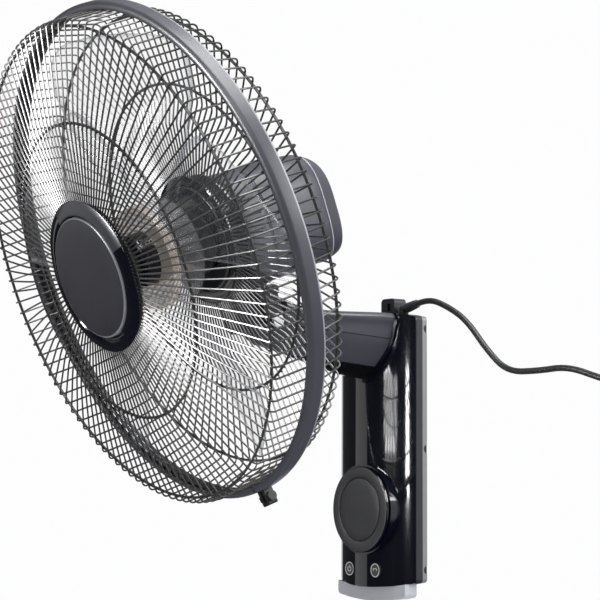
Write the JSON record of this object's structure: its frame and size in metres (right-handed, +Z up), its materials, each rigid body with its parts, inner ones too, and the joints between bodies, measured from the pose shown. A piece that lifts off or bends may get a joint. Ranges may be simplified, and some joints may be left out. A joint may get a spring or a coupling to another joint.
{
  "type": "wall mounted fan",
  "caption": "Wall mounted fan with a round wire guard, clear blades, a tilting and panning head, a bowed wall column with a dial and buttons, and a mains cord.",
  "frame": {"origin": "centre of the wall plate on the wall plane", "axes": "+Y into the wall, -Y to the room, +X right for someone who faces the wall, +Z up"},
  "size_m": [0.6619, 0.3711, 0.518],
  "materials": {
    "navy_metal": "satin",
    "gloss_black": "gloss",
    "dark_grey": "satin",
    "navy_plastic": "satin",
    "black_plastic": "matte",
    "pale_plastic": "satin",
    "grey_plastic": "satin",
    "white_plastic": "gloss",
    "wire_chrome": "polished",
    "steel": "brushed",
    "zinc_steel": "brushed",
    "plate_steel": "satin",
    "stack_steel": "laminated",
    "copper_wound": "wound",
    "clear_smoke": "transparent",
    "circuit_green": "board",
    "cord_black": "soft sheen",
    "aluminium_die": "die cast"
  },
  "bodies": {
    "base": {"wall_plate": "plate_steel", "column_back": "dark_grey", "column_front": "gloss_black", "top_cap": "gloss_black", "column_screws": "zinc_steel", "bottom_cap": "pale_plastic", "hanging_lug": "dark_grey", "dial_bezel": "gloss_black", "rotary_switch": "black_plastic", "left_spring": "steel", "right_spring": "steel", "control_board": "circuit_green", "tact_switches": "black_plastic", "board_screws": "zinc_steel", "capacitor": "white_plastic", "terminal_block": "white_plastic", "arm_upper": "navy_plastic", "arm_lower": "gloss_black", "arm_screws": "zinc_steel", "arm_collar": "gloss_black", "arm_beam": "steel", "beam_screws": "zinc_steel", "cord_gland": "cord_black", "cord": "cord_black", "cord_coil": "cord_black", "cord_tie": "black_plastic", "plug": "cord_black"},
    "dial": {"dial": "dark_grey", "dial_shaft": "white_plastic"},
    "button_left": {"button_left": "dark_grey"},
    "button_right": {"button_right": "dark_grey"},
    "neck": {"neck": "gloss_black", "tilt_bolt": "zinc_steel", "tilt_nut": "zinc_steel", "pan_pin": "steel", "pan_washer": "white_plastic", "pin_clip": "steel"},
    "head": {"motor_front_shell": "gloss_black", "motor_rear_cover": "navy_plastic", "bearings": "steel", "stator": "stack_steel", "windings": "copper_wound", "motor_frame": "aluminium_die", "motor_bolts": "zinc_steel", "gear_case": "grey_plastic", "guard_ring": "navy_metal", "ring_clamp": "black_plastic", "front_guard": "wire_chrome", "rear_guard": "wire_chrome", "guard_nut": "grey_plastic", "badge_base": "navy_plastic", "badge_disc": "navy_plastic"},
    "crank": {"crank": "white_plastic"},
    "link": {"link": "steel"},
    "blade": {"blade": "clear_smoke", "hub_core": "black_plastic", "drive_pin": "steel", "motor_shaft": "steel", "spinner_nut": "gloss_black", "rotor": "stack_steel"}
  },
  "joints": [
    {"name": "head_tilt", "type": "hinge", "parent": "base", "child": "neck", "pos_m": [0, -0.156, 0.1115], "axis": [-1, 0, 0], "range_deg": [0, 20]},
    {"name": "head_pan", "type": "hinge", "parent": "neck", "child": "head", "pos_m": [0, -0.16686, 0.14054], "axis": [0, -0.3502, 0.9367], "range_deg": [-36.6, 43.4]},
    {"name": "blade_spin", "type": "hinge", "parent": "head", "child": "blade", "pos_m": [-0.00441, -0.25594, 0.16702], "axis": [-0.0593, -0.935, -0.3496], "continuous": true},
    {"name": "crank_turn", "type": "hinge", "parent": "head", "child": "crank", "pos_m": [0.0085, -0.10067, 0.17948], "axis": [0, -0.3502, 0.9367], "continuous": true},
    {"name": "link_swing", "type": "hinge", "parent": "neck", "child": "link", "pos_m": [0.02, -0.1705, 0.15028], "axis": [0, -0.3502, 0.9367], "range_deg": [-36.6, 43.4]},
    {"name": "dial_turn", "type": "hinge", "parent": "base", "child": "dial", "pos_m": [0, -0.034, -0.0555], "axis": [0, -1, 0], "range_deg": [0, 135]},
    {"name": "left_button_press", "type": "slide", "parent": "base", "child": "button_left", "axis": [0, 1, 0], "range_m": [0, 0.0012], "stiffness_N_per_m": 400, "springref_m": -0.001, "deforming": ["left_spring"]},
    {"name": "right_button_press", "type": "slide", "parent": "base", "child": "button_right", "axis": [0, 1, 0], "range_m": [0, 0.0012], "stiffness_N_per_m": 400, "springref_m": -0.001, "deforming": ["right_spring"]}
  ],
  "couplings": [
    {"joint": "link_swing", "follows": "head_pan", "ratio": 1}
  ]
}
